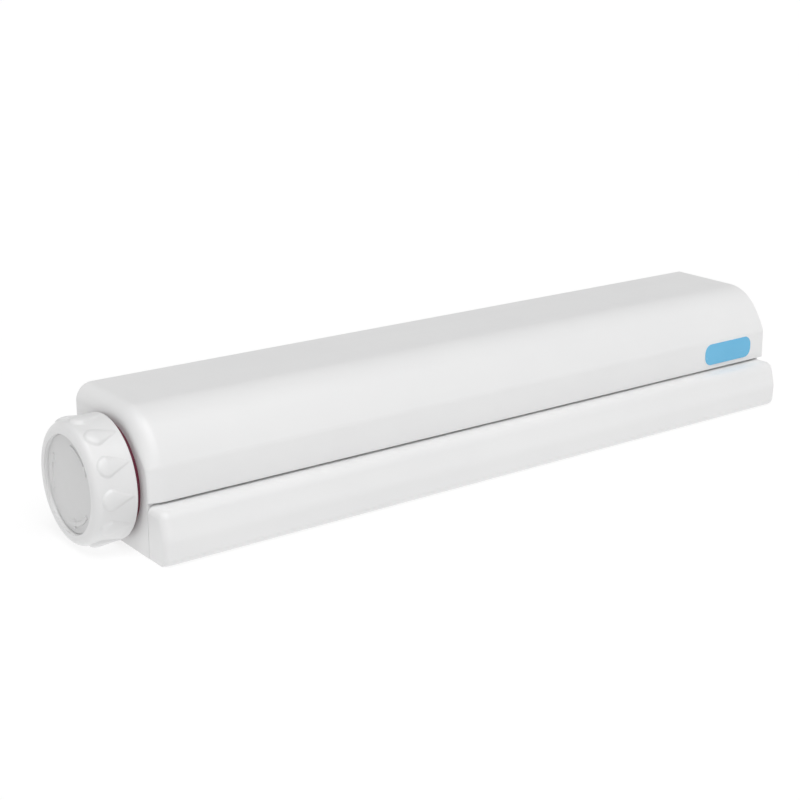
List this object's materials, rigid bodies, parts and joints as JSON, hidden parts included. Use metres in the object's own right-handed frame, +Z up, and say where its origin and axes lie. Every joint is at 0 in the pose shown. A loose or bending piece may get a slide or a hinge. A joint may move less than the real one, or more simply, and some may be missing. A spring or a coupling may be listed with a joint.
{
  "type": "wall-mounted retractable clothesline",
  "caption": "Wall-mounted casing with a winding drum of lines, a line bar that pulls out from under its front, and a lugged knob that winds and locks the drum.",
  "frame": {"origin": "on the wall face of the back plate, at the centre of its four wall screw holes", "axes": "+X along the casing away from the knob, +Y into the wall, +Z up"},
  "size_m": [0.4224, 0.0799, 0.064],
  "materials": {
    "casing_white": "satin-gloss white moulded plastic",
    "disc_white": "satin white moulded plastic",
    "frame_white": "satin white moulded plastic, ribbed",
    "inner_grey": "matt light grey moulded plastic",
    "burgundy": "satin burgundy moulded plastic",
    "bush_ivory": "waxy ivory acetal",
    "steel": "zinc-plated steel",
    "axle_alloy": "extruded aluminium",
    "badge_blue": "glossy light blue plastic",
    "line_cord": "white braided line"
  },
  "bodies": {
    "casing": {"front_cover": "casing_white", "back_plate": "inner_grey", "left_bracket": "inner_grey", "right_bracket": "inner_grey", "lock_ring": "burgundy", "left_bush": "bush_ivory", "right_bush": "bush_ivory", "bracket_screws": "steel", "lock_ring_screws": "steel", "cover_screws": "steel", "badge": "badge_blue"},
    "drum": {"drum_axle": "axle_alloy", "e_clip": "steel", "knob_screw": "steel", "knob_washer": "steel", "spool_1": "burgundy", "spool_2": "burgundy", "spool_3": "burgundy", "spool_4": "burgundy", "spool_5": "burgundy", "line_pack_1": "line_cord", "line_pack_2": "line_cord", "line_pack_3": "line_cord", "line_pack_4": "line_cord", "line_pack_5": "line_cord", "drum_knot_1": "line_cord", "drum_knot_2": "line_cord", "drum_knot_3": "line_cord", "drum_knot_4": "line_cord", "drum_knot_5": "line_cord"},
    "knob": {"knob_cap": "casing_white", "knob_disc": "disc_white", "knob_clutch": "burgundy"},
    "line_bar": {"bar_front": "casing_white", "bar_frame": "frame_white", "bar_screws": "steel", "line_knot_1": "line_cord", "line_knot_2": "line_cord", "line_knot_3": "line_cord", "line_knot_4": "line_cord", "line_knot_5": "line_cord", "line_run_1": "line_cord", "line_run_2": "line_cord", "line_run_3": "line_cord", "line_run_4": "line_cord", "line_run_5": "line_cord"}
  },
  "joints": [
    {"name": "bar_pull", "type": "slide", "parent": "casing", "child": "line_bar", "axis": [0, -1, 0], "range_m": [0, 4.2], "deforming": ["line_run_1", "line_run_2", "line_run_3", "line_run_4", "line_run_5"]},
    {"name": "drum_spin", "type": "hinge", "parent": "casing", "child": "drum", "pos_m": [0, -0.033, -0.002], "axis": [1, 0, 0], "continuous": true},
    {"name": "knob_push", "type": "slide", "parent": "drum", "child": "knob", "axis": [1, 0, 0], "range_m": [0, 0.0022]}
  ],
  "couplings": [
    {"joint": "drum_spin", "follows": "bar_pull", "rad_per_m": -55.352}
  ]
}
